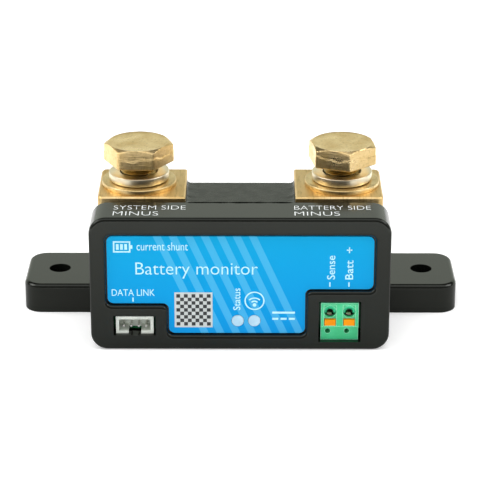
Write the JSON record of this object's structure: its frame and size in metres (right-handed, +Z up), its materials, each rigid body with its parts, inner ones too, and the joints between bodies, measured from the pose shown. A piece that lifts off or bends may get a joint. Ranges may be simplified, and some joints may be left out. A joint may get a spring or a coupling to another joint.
{
  "type": "battery monitor shunt",
  "caption": "Battery monitor shunt: brass terminal blocks with hexagon bolts in a black casing with mounting ears, labelled front, data header and push-in terminal.",
  "frame": {"origin": "on the underside, midway between the two mounting holes", "axes": "+Z up, away from the mounting surface; +X along the line through the mounting holes, to the right as seen from the labelled front; the front faces -Y"},
  "size_m": [0.12, 0.0503, 0.046],
  "materials": {
    "black_plastic": "satin moulded black",
    "black_potting": "matt black",
    "brass": "machined and forged brass",
    "bright_steel": "zinc-plated spring steel",
    "resistor_alloy": "bare copper-manganese alloy",
    "board_green": "solder mask",
    "shield_can": "tinned can",
    "chip_black": "moulded black",
    "capacitor_tan": "ceramic",
    "clear_plastic": "clear",
    "blue_label": "printed blue, glossy",
    "white_nylon": "off-white",
    "tinned_pin": "tinned",
    "green_plastic": "satin green",
    "orange_plastic": "satin orange",
    "zinc_screw": "zinc-plated"
  },
  "bodies": {
    "casing": {"base_casing": "black_plastic", "front_cover": "black_plastic", "rear_plate": "black_plastic", "centre_cover": "black_potting", "left_block": "brass", "right_block": "brass", "left_flat_washer": "brass", "right_flat_washer": "brass", "resistor_strips": "resistor_alloy", "circuit_board": "board_green", "radio_module": "shield_can", "processor_chip": "chip_black", "board_capacitors": "capacitor_tan", "board_resistors": "chip_black", "status_lights": "clear_plastic", "light_pipes": "clear_plastic", "front_label": "blue_label", "data_header": "white_nylon", "data_header_pins": "tinned_pin", "terminal_housing": "green_plastic", "clamp_springs": "bright_steel", "terminal_contacts": "tinned_pin", "sense_posts": "brass", "sense_screws": "zinc_screw", "cover_screws": "zinc_screw", "block_screws": "zinc_screw"},
    "left_spring_washer": {"left_spring_washer": "bright_steel"},
    "left_bolt": {"left_bolt": "brass"},
    "left_button": {"left_release_button": "orange_plastic"},
    "right_spring_washer": {"right_spring_washer": "bright_steel"},
    "right_bolt": {"right_bolt": "brass"},
    "right_button": {"right_release_button": "orange_plastic"}
  },
  "joints": [
    {"name": "left_bolt_turn", "type": "hinge", "parent": "casing", "child": "left_spring_washer", "pos_m": [-0.02805, 0, 0.0352], "axis": [0, 0, 1], "range_deg": [-601, 2881]},
    {"name": "left_bolt_lift", "type": "slide", "parent": "left_spring_washer", "child": "left_bolt", "axis": [0, 0, 1], "range_m": [-0.0025, 0.012]},
    {"name": "right_bolt_turn", "type": "hinge", "parent": "casing", "child": "right_spring_washer", "pos_m": [0.02805, 0, 0.0352], "axis": [0, 0, 1], "range_deg": [-601, 2881]},
    {"name": "right_bolt_lift", "type": "slide", "parent": "right_spring_washer", "child": "right_bolt", "axis": [0, 0, 1], "range_m": [-0.0025, 0.012]},
    {"name": "left_button_press", "type": "slide", "parent": "casing", "child": "left_button", "axis": [0, 1, 0], "range_m": [0, 0.0012], "stiffness_N_per_m": 1500, "springref_m": -0.0015},
    {"name": "right_button_press", "type": "slide", "parent": "casing", "child": "right_button", "axis": [0, 1, 0], "range_m": [0, 0.0012], "stiffness_N_per_m": 1500, "springref_m": -0.0015}
  ],
  "couplings": [
    {"joint": "left_bolt_turn", "follows": "left_bolt_lift", "rad_per_m": 4188.8},
    {"joint": "right_bolt_turn", "follows": "right_bolt_lift", "rad_per_m": 4188.8}
  ]
}
